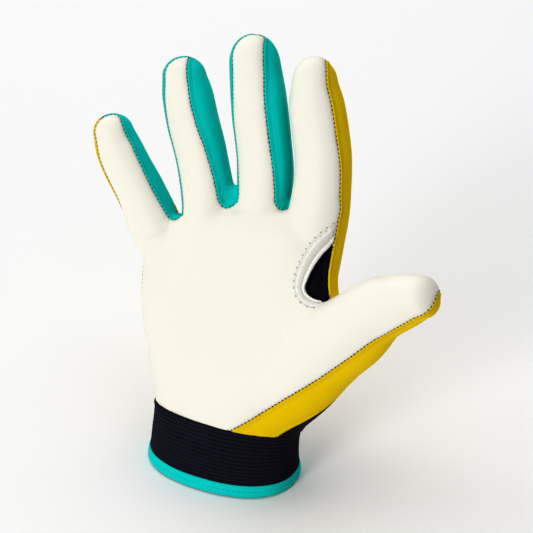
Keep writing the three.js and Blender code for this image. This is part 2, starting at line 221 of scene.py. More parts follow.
PANELS = ("palm", "back", *CROTCHES, "web_insert", "wrist_yoke")
FINGERS = ("little", "ring", "middle", "index")
DEGREE = math.pi / 180

# The form under the cloth: grid sizes, and how far and how often it is smoothed
HAND_GRID = (140, 120)
DIGIT_GRID = (90, 56)
SMOOTHING = 0.5
SKIN_ROUNDS = 6
THUMB_REACH = 7
THUMB_ROUNDS = 160
THUMB_FILL = 1.8
FINGER_REACH = 4
FINGER_ROUNDS = 50
WEIGHT_LEVELS = 16

# Signed fields of the seams. HAND_ARC is the radius that turns angles round the hand to lengths.
# The palm goes on HAND_BEYOND past the hand's last section. A digit's fields reach to a share of
# its radius, and DIGIT_BELOW its root. On its tip, fully so from TIP_DOME of the tip's height, the
# palm's high edge leans, and the strips end TIP_BACK behind the middle. In a crotch the edge of the
# palm is a bowl down to BOWL_DEPTH behind the crotch's depth, and the back's starts at REAR_DEPTH.
HAND_ARC = 14
HAND_BEYOND = 4
DIGIT_REACH = 1.25
DIGIT_BELOW = 3
TIP_LEAN = 0.5
TIP_DOME = 0.3
TIP_BACK = 5.5
BOWL_CURVE = 5
BOWL_RISE = 5
BOWL_DEPTH = 8
REAR_DEPTH = 6
FIELD_LIMIT = 6
FIELD_ROUNDS = 6
# Share of an edge within which its end is moved to the cut, and faces of a group that is merged
SNAP = 0.2
SMALL_ISLAND = 120

# The cloth's surface: seams, slow waves, the sunk insert and the part tucked under the cuff
SEAM_STEP = 0.25
SHORT_SEAM = 5
WAVE_HEIGHT = 0.3
WAVE_SIZE = 16
RECESS = 1.3
TUCK_DEPTH = 2

# The wrist: faces round it and up a rib, heights, thickness of the cloth, and size of the weave
AROUND = 220
FACES_PER_RIB = 9
CUFF_LOW = 3.5
CUFF_HIGH = 25.5
CUFF_CLOTH = 1.3
CUFF_RADIUS = 29
HEM_CLOTH = 0.5
HEM_ROWS = 30
HEM_WIDTH = 11

# The web tape, and the height from which it is dropped on the palm
TAPE_GRID = (150, 26)
TAPE_CLOTH = 0.8
TAPE_WIDTH = 5
TAPE_PITCH = 2.5
ABOVE_PALM = 60

# Stitches: their length along the seam, width and thickness. Those of the tape come in two rows,
# each at a share of its width, with a pitch as a share of the tape's own and a lift off the palm.
SEAM_STITCH = (0.85, 0.6, 0.46)
SEAM_LIFT = 0.02
HEM_STITCH = (1.5, 0.4, 0.3)
StitchRow = namedtuple("StitchRow", "share pitch lift size")
# The first tape row, just outside its outer edge, is stitches whose wide dark dots also stand in
# for painted shade in the needle dimples of the palm there
TAPE_STITCHES = [
    StitchRow(-0.06, 1, 0, (1.3, 0.8, 0.3)), StitchRow(0.64, 0.7, 0.4, (1.2, 0.3, 0.25)),
]

# The camera, by its focal length and picture in pixels, and the floor
CAMERA_PLACE = Vector((0.2473, -0.4418, 0.3551))
FOCAL_PIXELS = 1364
PICTURE_PIXELS = 533
SENSOR = 36
FLOOR_HALF = 4
FLOOR_DROP = 0.0006


def smooth_step(value):
    value = np.clip(value, 0, 1)
    return value * value * (3 - 2 * value)


def hump(value, middle, width):
    """A hump of height 1 round a middle value"""
    return np.exp(-(((value - middle) / width) ** 2))


def blend(first, second, share):
    return first + (second - first) * share


def power_of(values, power):
    return np.sign(values) * np.abs(values) ** power


def rows_of(vectors):
    """Rows of a table, each brought to length 1"""
    return vectors / np.linalg.norm(vectors, axis=1)[:, None]


def travelled(points):
    """How far each of a row of points is from the first, along the row"""
    steps = np.linalg.norm(np.diff(points, axis=0), axis=1)
    return np.concatenate([[0], np.cumsum(steps)])


def resampled(at, stations, rows):
    return np.stack([np.interp(at, stations, column) for column in rows.T], axis=1)


def curve_through(stations, table, at):
    """Rows of a smooth curve through the rows of a table"""
    slopes = np.gradient(table, stations, axis=0)
    k = np.clip(np.searchsorted(stations, at) - 1, 0, len(stations) - 2)
    span = (stations[k + 1] - stations[k])[:, None]
    s = (at - stations[k])[:, None] / span
    return (
        (2 * s**3 - 3 * s**2 + 1) * table[k]
        + (s**3 - 2 * s**2 + s) * span * slopes[k]
        + (3 * s**2 - 2 * s**3) * table[k + 1]
        + (s**3 - s**2) * span * slopes[k + 1]
    )


# Place along a tube, angle round it in degrees, distance from its axis as a share of its radius,
# share of its half width to the side, millimetres to the front, and how far up its rounded tip
Located = namedtuple("Located", "place angle distance radius side wide front beyond")


class Tube:
    """A smooth tube through table rows: its surface, and the place of any point in its own terms"""

    samples = 160

    def __init__(self, rows, tip, power):
        table = np.array(rows, float)
        stations = travelled(table[:, :3])
        self.length = stations[-1]
        self.tip = tip
        self.power = power
        self.at = np.linspace(0, self.length, self.samples)
        self.table = curve_through(stations, table, self.at)
        self.centre = self.table[:, :3]
        self.wide = self.table[:, 3]
        self.deep = self.table[:, 4]

    def columns(self, place):
        """Centre, across, pad, along, width and depth at places along the tube"""
        place = np.clip(place, 0, self.length)
        centre = resampled(place, self.at, self.centre)
        ways = [rows_of(resampled(place, self.at, way))
                for way in (self.across, self.pad, self.along)]
        sizes = [np.interp(place, self.at, size) for size in (self.wide, self.deep)]
        return centre, *ways, *sizes

    def surface(self, place, angle, inset=0.0):
        """Points on the tube at places along it and angles round it, 0 at the pad"""
        centre, across, pad, along, wide, deep = self.columns(place)
        beyond = np.clip((place - self.length) / self.tip, 0, 1)
        scale = np.sqrt(1 - beyond**2)
        power = 2 / self.power
        side = power_of(np.sin(angle), power)
        front = power_of(np.cos(angle), power)
        return (
            centre
            + along * (beyond * (self.tip - inset))[:, None]
            + across * ((wide - inset) * scale * side)[:, None]
            + pad * ((deep - inset) * scale * front)[:, None]
        )

    def locate(self, points):
        """Where points lie in the tube's own terms"""
        nearest = self.nearest(points)
        step = ((points - self.centre[nearest]) * self.along[nearest]).sum(axis=1)
        place = self.at[nearest] + step
        centre, across, pad, along, wide, deep = self.columns(place)
        beyond = np.clip((place - self.length) / self.tip, 0, 1.5)
        offset = points - centre - along * np.maximum(place - self.length, 0)[:, None]
        side = (offset * across).sum(axis=1) / wide
        front = (offset * pad).sum(axis=1) / deep
        power = self.power
        distance = (np.abs(side) ** power + np.abs(front) ** power) ** (1 / power)
        distance = np.hypot(distance, beyond)
        angle = np.degrees(np.arctan2(power_of(side, power / 2), power_of(front, power / 2)))
        return Located(place, angle, distance, (wide + deep) / 2, side, wide, front * deep, beyond)


class HandTube(Tube):
    def __init__(self):
        super().__init__(HAND_ROWS, HAND_TIP, HAND_POWER)
        ones = np.ones(self.samples)
        self.across = rows_of(np.stack([ones, 0 * ones, self.table[:, 5]], axis=1))
        self.pad = rows_of(np.stack([0 * ones, -ones, self.table[:, 6]], axis=1))
        self.along = rows_of(np.cross(self.pad, self.across))

    def nearest(self, points):
        """The section whose plane each point lies in"""
        heights = points @ self.along.T - (self.centre * self.along).sum(axis=1)
        return np.abs(heights).argmin(axis=1)


class DigitTube(Tube):
    def __init__(self, digit):
        super().__init__(digit.rows, digit.tip, DIGIT_POWER)
        self.along = rows_of(np.gradient(self.centre, self.at, axis=0))
        facing = np.array(digit.pad)
        self.pad = rows_of(facing - self.along * (self.along @ facing)[:, None])
        self.across = np.cross(self.along, self.pad)
        self.low = self.table[:, 5]
        self.high = self.table[:, 6]

    def nearest(self, points):
        """The section whose centre is nearest to each point"""
        far = (self.centre**2).sum(axis=1) - 2 * points @ self.centre.T
        return far.argmin(axis=1)

    def seams(self, place):
        return np.interp(place, self.at, self.low), np.interp(place, self.at, self.high)


HAND = HandTube()
TUBES = {name: DigitTube(digit) for name, digit in DIGITS.items()}


def glove():
    return bpy.context.scene.glove


def mesh_points(mesh):
    points = np.empty(len(mesh.vertices) * 3)
    mesh.vertices.foreach_get("co", points)
    return points.reshape(-1, 3)


def from_bmesh(bm, name):
    mesh = bpy.data.meshes.new(name)
    bm.to_mesh(mesh)
    bm.free()
    return mesh


def grid_of(bm, along, around):
    """A grid of vertices, with their places along it from 0 to 1 and round it from -1 to 1"""
    made = bmesh.ops.create_grid(bm, x_segments=along, y_segments=around, size=1)["verts"]
    spots = np.array([vert.co for vert in made])
    return made, (spots[:, 0] + 1) / 2, spots[:, 1]


def add_tube(bm, tube, along, around):
    """A tube open at its root: a grid wrapped round it, with its end drawn to a point at the tip"""
    made, share, side = grid_of(bm, along, around)
    turn = share * (tube.length + tube.tip * math.pi / 2) - tube.length
    place = np.where(turn < 0, turn + tube.length,
                     tube.length + tube.tip * np.sin(np.maximum(turn, 0) / tube.tip))
    points = tube.surface(place, side * math.pi)
    points[share > 0.9999] = tube.surface(np.array([tube.length + tube.tip]), np.zeros(1))[0]
    for vert, point in zip(made, points):
        vert.co = point
    bmesh.ops.remove_doubles(bm, verts=made, dist=0.001)


def close_holes(bm):
    edges = [edge for edge in bm.edges if edge.is_boundary]
    bmesh.ops.holes_fill(bm, edges=edges, sides=0)
    bmesh.ops.recalc_face_normals(bm, faces=bm.faces)


def linked(name, data):
    """A new object in the scene"""
    made = bpy.data.objects.new(name, data)
    bpy.context.scene.collection.objects.link(made)
    return made


def modified(mesh, *steps):
    """A copy of a mesh with modifiers applied, each given as its type, weights and settings"""
    work = linked("work", mesh)
    for kind, weights, settings in steps:
        modifier = work.modifiers.new(kind, kind)
        for key, value in settings.items():
            setattr(modifier, key, value)
        if weights is not None:
            group = work.vertex_groups.new(name=kind)
            for level in range(1, WEIGHT_LEVELS + 1):
                chosen = np.flatnonzero(np.rint(weights * WEIGHT_LEVELS) == level)
                group.add(chosen.tolist(), level / WEIGHT_LEVELS, "REPLACE")
            modifier.vertex_group = group.name
    depsgraph = bpy.context.evaluated_depsgraph_get()
    result = bpy.data.meshes.new_from_object(work.evaluated_get(depsgraph))
    bpy.data.objects.remove(work)
    return result


def joint_weights(points, name, reach):
    """1 where a digit leaves the hand, falling to 0 away from either of them"""
    spots = (HAND.locate(points), TUBES[name].locate(points))
    gaps = [np.abs(spot.distance - 1) * spot.radius / reach for spot in spots]
    return hump(np.maximum(*gaps), 0, 1)


def from_segment(spots, start, way):
    """How far spots are along a segment, as shares of it, and away from it"""
    share = ((spots - start) @ way) / (way @ way)
    return share, np.linalg.norm(spots - start - np.clip(share, 0, 1)[:, None] * way, axis=1)


def outline_distance(spots, outline):
    """Signed distance of spots from a closed outline, positive inside"""
    corners = np.array(outline, float)
    best = np.full(len(spots), 1e9)
    inside = np.zeros(len(spots), bool)
    for a, b in zip(corners, np.roll(corners, -1, axis=0)):
        edge = b - a
        best = np.minimum(best, from_segment(spots, a, edge)[1])
        crosses = (a[1] > spots[:, 1]) != (b[1] > spots[:, 1])
        with np.errstate(divide="ignore", invalid="ignore"):
            x = a[0] + (spots[:, 1] - a[1]) / edge[1] * edge[0]
        inside ^= crosses & (spots[:, 0] < x)
    return np.where(inside, best, -best)


def plane_height(points, plane):
    normal = np.array(plane.normal)
    return (points @ normal - plane.offset) / np.linalg.norm(normal)


def view_spots(points):
    """Spots in the cutout's axes, and depths behind its middle"""
    offset = points - np.array(CUTOUT_MIDDLE)
    spots = np.stack([offset @ np.array(VIEW_RIGHT), offset @ np.array(VIEW_UP)], axis=1)
    return spots, -(offset @ np.array(VIEW_BACK))


def digit_fields(name, points):
    """Signed distances inside a digit's palm side, and inside the strips on its two sides"""
    digit, tube = DIGITS[name], TUBES[name]
    spot = tube.locate(points)
    low, high = tube.seams(spot.place)
    arc = spot.radius * DEGREE
    owned = np.minimum((DIGIT_REACH - spot.distance) * spot.radius, spot.place + DIGIT_BELOW)
    palm = np.minimum(spot.angle - low, high - spot.angle) * arc
    power = 2 / tube.power
    lean = TIP_LEAN * (power_of(np.cos(high * DEGREE), power) * tube.deep[-1] - spot.front)
    top = (power_of(np.sin(high * DEGREE), power) - spot.side) * spot.wide - lean
    top = np.minimum(top, (points - tube.centre[-1]) @ np.array(VIEW_BACK) - digit.rim)
    domed = smooth_step(spot.beyond / TIP_DOME)
    palm = np.minimum(blend(palm, top, domed), owned)
    sides = {}
    for side, seam in ((1, high), (-1, -low)):
        away = side * spot.angle
        within = np.minimum(away - seam, SIDE_END[side] - away) * arc
        round_tip = np.minimum(-top, side * (spot.side - digit.split) * spot.wide)
        round_tip = np.minimum(round_tip, spot.front + TIP_BACK)
        sides[name, side] = np.minimum(blend(within, round_tip, domed), owned)
    return palm, sides


def crotch_field(crotch, sides, points):
    """Signed distance inside the strip that goes down one finger and up the next"""
    spots, depth = view_spots(points)
    both = np.maximum(sides[crotch.first, 1], sides[crotch.second, -1])
    rise = np.minimum((spots[:, 0] - crotch.right) ** 2 / BOWL_CURVE, BOWL_RISE)
    bowl = np.clip(spots[:, 1] - crotch.up - rise, -FIELD_LIMIT, FIELD_LIMIT)
    bowl = np.maximum(bowl, depth - crotch.depth - BOWL_DEPTH)
    rear = np.maximum(points[:, 2] - crotch.heel[2], crotch.depth + REAR_DEPTH - depth)
    heel = HEEL_RADIUS - np.linalg.norm(points - np.array(crotch.heel), axis=1)
    return np.maximum(np.minimum(np.minimum(both, bowl), rear), heel)


def insert_field(points):
    """Signed distance inside the insert, seen in the cutout and reaching behind its edge"""
    return np.maximum(outlined(points, INSERT_OUTLINE, -8, 13),
                      outlined(points, BEHIND_OUTLINE, 2.5, 14))


def outlined(points, outline, near, far):
    """Signed distance inside an outline in the cutout's axes, between two depths"""
    spots, depth = view_spots(points)
    return np.minimum(outline_distance(spots, outline), np.minimum(depth - near, far - depth))


def seam_fields(points):
    """Signed distances, in millimetres, that say which panel each point belongs to"""
    spot = HAND.locate(points)
    palm = np.minimum(spot.angle - HAND_LOW, HAND_HIGH - spot.angle) * DEGREE * HAND_ARC
    palm = np.minimum(palm, HAND.length + HAND_BEYOND - spot.place)
    sides = {}
    for name in TUBES:
        front, strips = digit_fields(name, points)
        palm = np.maximum(palm, front)
        sides.update(strips)
    palm = np.minimum(palm, outline_distance(view_spots(points)[0], THUMB_OUTLINE))
    fields = {name: crotch_field(crotch, sides, points) for name, crotch in CROTCHES.items()}
    fields["palm"] = np.minimum(palm, -outlined(points, EDGE_OUTLINE, -4, 14))
    fields["web_insert"] = insert_field(points)
    fields["wrist_yoke"] = -plane_height(points, YOKE_SEAM)
    return fields


def cut_along(bm, layer):
    """Cuts the faces along the line where the layer's value is nought"""
    for edge in bm.edges:
        a, b = edge.verts
        if a[layer] * b[layer] < 0:
            share = a[layer] / (a[layer] - b[layer])
            near = a if share < SNAP else b if share > 1 - SNAP else None
            if near is not None:
                near.co = a.co.lerp(b.co, share)
                near[layer] = 0
    for edge in list(bm.edges):
        a, b = edge.verts
        if a[layer] * b[layer] < 0:
            _, middle = bmesh.utils.edge_split(edge, a, a[layer] / (a[layer] - b[layer]))
            middle[layer] = 0
    marked = [vert for vert in bm.verts if vert[layer] == 0]
    bmesh.ops.connect_verts(bm, verts=marked)


def smooth_values(mesh, values, times):
    """Evens out a value over a mesh by passing it between neighbours"""
    pairs = np.empty(len(mesh.edges) * 2, int)
    mesh.edges.foreach_get("vertices", pairs)
    first, second = pairs.reshape(-1, 2).T
    count = np.bincount(pairs, minlength=len(values))
    for _ in range(times):
        total = np.bincount(first, values[second], len(values))
        total += np.bincount(second, values[first], len(values))
        values = 0.5 * values + 0.5 * total / np.maximum(count, 1)
    return values


def whole_skin():
    """The smooth outer skin of hand and digits, in millimetres"""
    bm = bmesh.new()
    add_tube(bm, HAND, *HAND_GRID)
    for tube in TUBES.values():
        add_tube(bm, tube, *DIGIT_GRID)
    close_holes(bm)
    for web in WEBS:
        place = Matrix.Translation(web[:3]) @ Matrix.Diagonal((*web[3:], 1))
        bmesh.ops.create_uvsphere(bm, u_segments=32, v_segments=24, radius=1, matrix=place)
    remesh = {"mode": "VOXEL", "voxel_size": glove().voxel / MM}
    mesh = modified(from_bmesh(bm, "form"), ("REMESH", None, remesh))
    points = mesh_points(mesh)
    thumb = joint_weights(points, "thumb", THUMB_REACH)
    fingers = np.maximum.reduce([joint_weights(points, name, FINGER_REACH) for name in FINGERS])
    return modified(
        mesh,
        ("SMOOTH", None, {"factor": SMOOTHING, "iterations": SKIN_ROUNDS}),
        ("SMOOTH", thumb, {"factor": SMOOTHING, "iterations": THUMB_ROUNDS}),
        ("DISPLACE", thumb, {"strength": THUMB_FILL, "mid_level": 0}),
        ("SMOOTH", fingers, {"factor": SMOOTHING, "iterations": FINGER_ROUNDS}),
    )


def panel_of(face, layers):
    """The name of the panel that a face of the skin belongs to"""
    for name in (*CROTCHES, "web_insert", "palm", "wrist_yoke"):
        if sum(vert[layers[name]] for vert in face.verts) > 0:
            return name
    return "back"


def cut_skin(mesh):
    """The skin as a bmesh that is cut along its seams and numbered by panel"""
    bm = bmesh.new()
    bm.from_mesh(mesh)
    layers = {}
    for name, values in seam_fields(mesh_points(mesh)).items():
        layers[name] = bm.verts.layers.float.new(name)
        values = np.clip(values, -FIELD_LIMIT, FIELD_LIMIT)
        even = smooth_values(mesh, values, FIELD_ROUNDS)
        even[even == 0] = 1e-6
        for vert, value in zip(bm.verts, even):
            vert[layers[name]] = value
    normal = Vector(CUFF_TOP.normal)
    bmesh.ops.bisect_plane(
        bm, geom=bm.verts[:] + bm.edges[:] + bm.faces[:], dist=0.0001,
        plane_co=normal * (CUFF_TOP.offset - TUCK) / normal.length_squared, plane_no=normal,
        clear_inner=True,
    )
    for layer in layers.values():
        cut_along(bm, layer)
    number = bm.faces.layers.int.new("panel")
    for face in bm.faces:
        face[number] = PANELS.index(panel_of(face, layers))
        face.smooth = True
    for name in layers:
        bm.verts.layers.float.remove(bm.verts.layers.float[name])
    merge_islands(bm, number)
    bm.verts.index_update()
    return bm


def merge_islands(bm, number):
    """Gives small groups of faces the number of the panel round them"""
    done = set()
    for start in bm.faces:
        if start in done:
            continue
        group, rim, waiting = [], [], [start]
        done.add(start)
        while waiting:
            face = waiting.pop()
            group.append(face)
            for edge in face.edges:
                for other in edge.link_faces:
                    if other[number] != start[number]:
                        rim.append(other[number])
                    elif other not in done:
                        done.add(other)
                        waiting.append(other)
        if len(group) < SMALL_ISLAND and rim:
            usual = max(set(rim), key=rim.count)
            for face in group:
                face[number] = usual


def seam_chains(bm):
    """Rows of vertex numbers along each seam, with the names of the panels on its two sides"""
    number = bm.faces.layers.int["panel"]
    links = defaultdict(lambda: defaultdict(list))
    for edge in bm.edges:
        sides = sorted({face[number] for face in edge.link_faces})
        if len(sides) == 2 or edge.is_boundary:
            names = tuple(PANELS[side] for side in sides)
            a, b = (vert.index for vert in edge.verts)
            links[names][a].append(b)
            links[names][b].append(a)
    for names, ways in links.items():
        left = dict.fromkeys(sorted(ways, key=lambda v: len(ways[v]) == 2))
        while left:
            row = [next(iter(left))]
            left.pop(row[0])
            while True:
                following = [v for v in ways[row[-1]] if v in left]
                if not following:
                    break
                row.append(following[0])
                left.pop(following[0])
            if row[0] in ways[row[-1]] and len(row) > 3:
                row.append(row[0])
            yield names, row


class Line:
    """A smooth line through points, and the same line at even steps"""

    def __init__(self, points, rounds=8):
        for _ in range(rounds):
            inner = (points[:-2] + 2 * points[1:-1] + points[2:]) / 4
            points = np.vstack([points[:1], inner, points[-1:]])
        self.points = points
        self.at = travelled(points)
        self.length = self.at[-1]

    def stepped(self, step, start=0.0):
        at = np.arange(start, self.length, step)
        return at, resampled(at, self.at, self.points)


Skin = namedtuple("Skin", "bm seams tree")


@lru_cache(maxsize=None)
def skin():
    """The skin with its seams pressed in, as a bmesh with a panel number on every face"""
    bm = cut_skin(whole_skin())
    bm.normal_update()
    points = np.array([vert.co for vert in bm.verts])
    normals = np.array([vert.normal for vert in bm.verts])
    seams = [(names, Line(points[row])) for names, row in seam_chains(bm) if len(row) > 4]
    seam, along = nearest_seam(points, [line.stepped(SEAM_STEP) for _, line in seams])
    rise = glove().seam_depth / MM * seam_profile(bm, seam)
    waves = [WAVE_HEIGHT * noise.noise(Vector(point) / WAVE_SIZE) for point in points]
    rise += np.array(waves)
    rise += crease_height(points) * (normals @ np.array(VIEW_BACK) > 0)
    rise -= RECESS * smooth_step(insert_field(points) / 1.6)
    rise -= TUCK_DEPTH * smooth_step((-0.9 - plane_height(points, CUFF_TOP)) / 1.6)
    facing = smooth_step(0.5 + (np.abs(normals[:, 0]) - np.abs(normals[:, 1])) / 1.2)
    notes = {"seam": seam, "along": along, "facing": facing}
    for name, values in notes.items():
        layer = bm.verts.layers.float.new(name)
        for vert, value in zip(bm.verts, values):
            vert[layer] = value
    for vert, point in zip(bm.verts, points + normals * rise[:, None]):
        vert.co = point
    bm.normal_update()
    return Skin(bm, seams, BVHTree.FromBMesh(bm))


def nearest_seam(points, steps):
    """Each point's distance from the nearest seam, and how far along the seam that is"""
    along = np.concatenate([at for at, _ in steps])
    spots = np.vstack([spot for _, spot in steps])
    finder = KDTree(len(spots))
    for i, spot in enumerate(spots):
        finder.insert(spot, i)
    finder.balance()
    found = [finder.find(point) for point in points]
    return np.array([distance for _, _, distance in found]), along[[i for _, i, _ in found]]


def seam_profile(bm, seam):
    """The height of the cloth beside its seams, as shares of the seam's depth"""
    soft = 0.3 * hump(seam, 2.4, 1.4)
    band = 0.8 * hump(seam, 1.4, 0.9) - 0.8 * hump(seam, 3.4, 1.3)
    number = bm.faces.layers.int["panel"]
    cloth = np.array([
        sum(face[number] != 0 for face in vert.link_faces) / len(vert.link_faces)
        for vert in bm.verts
    ])
    return -hump(seam, 0, 1.1) + soft * (1 - cloth) + band * cloth


def crease_height(points):
    """The height of the palm's creases, in millimetres"""
    spots, _ = view_spots(points)
    total = np.zeros(len(points))
    for right, up, end_right, end_up, height, width in CREASES:
        start = np.array((right, up))
        share, away = from_segment(spots, start, np.array((end_right, end_up)) - start)
        ends = smooth_step((share + 0.15) / 0.3) * smooth_step((1.15 - share) / 0.3)
        total += height * hump(away, 0, width) * ends
    return total


def finished(mesh, name, material, slot, *nodes):
    """A piece of the glove from a mesh in millimetres, riding on the frame"""
    mesh.transform(Matrix.Scale(MM, 4))
    mesh.name = name
    mesh.materials.clear()
    mesh.materials.append(material)
    for polygon in mesh.polygons:
        polygon.use_smooth = True
    piece = linked(name, mesh)
    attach(piece, "root")
    if nodes:
        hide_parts(*nodes)
    return piece


def sewn_piece(bm, node, thickness, material, slot):
    """The piece that stands for a node, its bmesh given the thickness of its cloth on the inside"""
    solidify = {"thickness": thickness, "offset": -1}
    mesh = modified(from_bmesh(bm, node), ("SOLIDIFY", None, solidify))
    return finished(mesh, "glove_" + node, material, slot, node)


def thread_piece(bm, name, colour, slot):
    """Stitches as one piece of thread"""
    material = thread_material(name + "_thread", colour)
    return finished(from_bmesh(bm, name), f"glove_{name}_stitches", material, slot)


def make_panel(name, material, slot, flat, area, *with_pieces):
    """One panel of the skin, with the thickness of its cloth"""
    bm = skin().bm.copy()
    number = bm.faces.layers.int["panel"]
    others = [face for face in bm.faces if face[number] != PANELS.index(name)]
    bmesh.ops.delete(bm, geom=others, context="FACES")
    piece = sewn_piece(bm, name, glove().cloth / MM, material, slot)


@lru_cache(maxsize=None)
def ball():
    bm = bmesh.new()
    bmesh.ops.create_uvsphere(bm, u_segments=6, v_segments=5, radius=0.5)
    return from_bmesh(bm, "ball")


def add_stitch(bm, place, along, outward, size):
    """One stitch: a small ball drawn out along the seam"""
    across = outward.cross(along).normalized()
    outward = along.cross(across).normalized()
    turn = Matrix((along, across, outward)).transposed().to_4x4()
    stitch = ball().copy()
    stitch.transform(Matrix.Translation(place) @ turn @ Matrix.Diagonal((*size, 1)))
    bm.from_mesh(stitch)
    bpy.data.meshes.remove(stitch)


def stitch_row(bm, spots, size, lay):
    """Stitches at spots in a row; lay gives the place and the outward way of each"""
    for spot, way in zip(spots, np.gradient(spots, axis=0)):
        along = Vector(way).normalized()
        place, outward = lay(Vector(spot), along)
        add_stitch(bm, place, along, outward, size)


# Materials


class Wire:
    """A shader socket that Python's operators join to sockets and numbers with Math nodes"""

    def __init__(self, shader, socket):
        self.shader = shader
        self.socket = socket

    def math(self, operation, *values):
        settings = {"operation": operation}
        return self.shader.node("ShaderNodeMath", settings, dict(enumerate(values)))

    def __add__(self, other):
        return self.math("ADD", self, other)

    def __mul__(self, other):
        return self.math("MULTIPLY", self, other)

    def __sub__(self, other):
        return self.math("SUBTRACT", self, other)

    def __rsub__(self, other):
        return self.math("SUBTRACT", other, self)

    def __truediv__(self, other):
        return self.math("DIVIDE", self, other)

    def sine(self):
        return self.math("SINE", self)

    def waves(self, length):
        """A sine wave that repeats after a length"""
        return (self * (2 * math.pi / length)).sine()

    def bell(self, middle, width):
        """A hump of height 1 round a middle value"""
        off = (self - middle) / width
        return self.math("EXPONENT", off * off * -1)

    def clamped(self):
        return self.shader.node("ShaderNodeClamp", {}, {0: self})


class Shader:
    """A material's nodes"""

    def __init__(self, name, specular=0.5):
        self.material = bpy.data.materials.new(name)
        self.material.use_nodes = True
        self.tree = self.material.node_tree
        self.surface = self.tree.nodes["Principled BSDF"]
        self.surface.inputs["Specular IOR Level"].default_value = specular
        self.object = self.node("ShaderNodeTexCoord", {}, {}, "Object")

    def node(self, kind, settings, inputs, output=0):
        made = self.tree.nodes.new(kind)
        for key, value in settings.items():
            setattr(made, key, value)
        self.feed(made, inputs)
        return Wire(self, made.outputs[output])

    def feed(self, node, inputs):
        for key, value in inputs.items():
            if isinstance(value, Wire):
                self.tree.links.new(value.socket, node.inputs[key])
            else:
                node.inputs[key].default_value = value

    def attribute(self, name, output="Fac"):
        return self.node("ShaderNodeAttribute", {"attribute_name": name}, {}, output)

    def noise(self, size, detail=2.0):
        """Noise from 0 to 1 whose lumps are about size metres across"""
        inputs = {"Vector": self.object, "Scale": 1 / size, "Detail": detail}
        return self.node("ShaderNodeTexNoise", {}, inputs)

    def grain(self, size):
        inputs = {"Vector": self.object, "Scale": 1 / size}
        return self.node("ShaderNodeTexVoronoi", {"feature": "F1"}, inputs)

    def mix(self, share, first, second):
        return self.node("ShaderNodeMix", {"data_type": "RGBA"}, {0: share, 6: first, 7: second}, 2)

    def axes(self, vector):
        return [self.node("ShaderNodeSeparateXYZ", {}, {0: vector}, axis) for axis in range(3)]

    def finish(self, colour, roughness, height=None):
        """Feeds the surface; height is in millimetres"""
        inputs = {"Base Color": colour, "Roughness": roughness}
        if height is not None:
            bump = {"Height": height, "Strength": 1.0, "Distance": MM}
            inputs["Normal"] = self.node("ShaderNodeBump", {}, bump)
        self.feed(self.surface, inputs)
        return self.material


def shade(colour, factor=1):
    return tuple(channel * factor for channel in colour[:3]) + (1,)


def gathers(shader):
    """Small waves at the stitches beside a seam, in millimetres"""
    seam = shader.attribute("seam")
    waves = shader.attribute("along").waves(glove().pitch / MM)
    return waves * seam.bell(0.6, 1.0) * 0.05


def palm_material(name, colour):
    """Smooth coated leather: fine grain, soft creases, a pressed seam edge and painted shade along
    the seams
    """
    shader = Shader(name, 0.2)
    seam = shader.attribute("seam")
    mottle = shader.noise(0.035, 3)
    tone = shader.mix(mottle.clamped() * 0.6, shade(colour), shade(colour, 0.955))
    # Painted shade: the colour darkens towards the seams, as if the seam groove lay in shade
    tone = shader.mix(seam.bell(0, 0.9) * 0.1, tone, shade(colour, 0.6))
    height = gathers(shader) + seam.bell(0, 0.5) * -0.12
    height = height + shader.grain(0.0009) * 0.02 + shader.noise(0.0016) * 0.02
    return shader.finish(tone, mottle * 0.08 + 0.45, height + shader.noise(0.011) * 0.12)


def knit_material(name, colour, rib=0.75, strength=0.035):
    """Stretch knit: fine columns of loops, a turned edge at the seams and painted shade right on
    the seam line
    """
    shader = Shader(name, 0.08)
    seam = shader.attribute("seam")
    x, y, z = shader.axes(shader.object)
    facing = shader.attribute("facing")

    def knitted(across):
        columns = across.waves(rib * MM)
        loops = (z * (2 * math.pi / (rib * MM * 0.85)) + columns * 1.3).sine()
        return (columns + loops) * 0.5

    knit = knitted(x) * (1 - facing) + knitted(y) * facing
    cloudy = shader.noise(0.02, 3)
    tone = shader.mix((knit * 0.5 + 0.5).clamped() * 0.5, shade(colour, 0.86), shade(colour))
    tone = shader.mix(cloudy * 0.2, tone, shade(colour, 0.85))
    # Painted shade: the colour darkens sharply right on the seam line
    tone = shader.mix(seam.bell(0, 0.3) * 0.12, tone, shade(colour, 0.4))
    edge = seam.bell(0.7, 0.45) * 0.25 - seam.bell(2.2, 0.8) * 0.25 - seam.bell(0, 0.3) * 0.15
    height = gathers(shader) + edge + knit * strength + shader.noise(0.009) * 0.25
    return shader.finish(tone, cloudy * 0.1 + 0.55, height)


def thread_material(name, colour):
    """Twisted sewing thread"""
    shader = Shader(name, 0.35)
    twist = shader.noise(0.0004, 1)
    tone = shader.mix(twist, shade(colour, 0.75), shade(colour))
    return shader.finish(tone, 0.6, twist * 0.05)


def tape_material(name, colour, edge):
    """Woven tape with fine cross ribs and a wavy surface; the weave's third value brings in another
    tone at the turned inner edge and as a painted highlight along the outer ridge
    """
    shader = Shader(name, 0.1)
    along, across, rolled = shader.axes(shader.attribute("weave", "Vector"))
    weave = along.waves(0.55) * 0.6 + across.waves(0.6) * 0.4
    cloudy = shader.noise(0.008)
    tone = shader.mix((weave * 0.5 + 0.5).clamped() * 0.5, shade(colour, 0.8), shade(colour))
    tone = shader.mix(cloudy * 0.4, tone, shade(colour, 0.75))
    # Lighter at the turned inner edge, and a painted highlight on the outer ridge
    tone = shader.mix(rolled, tone, shade(edge))
    return shader.finish(tone, 0.7, weave * 0.05 + cloudy * 0.4)


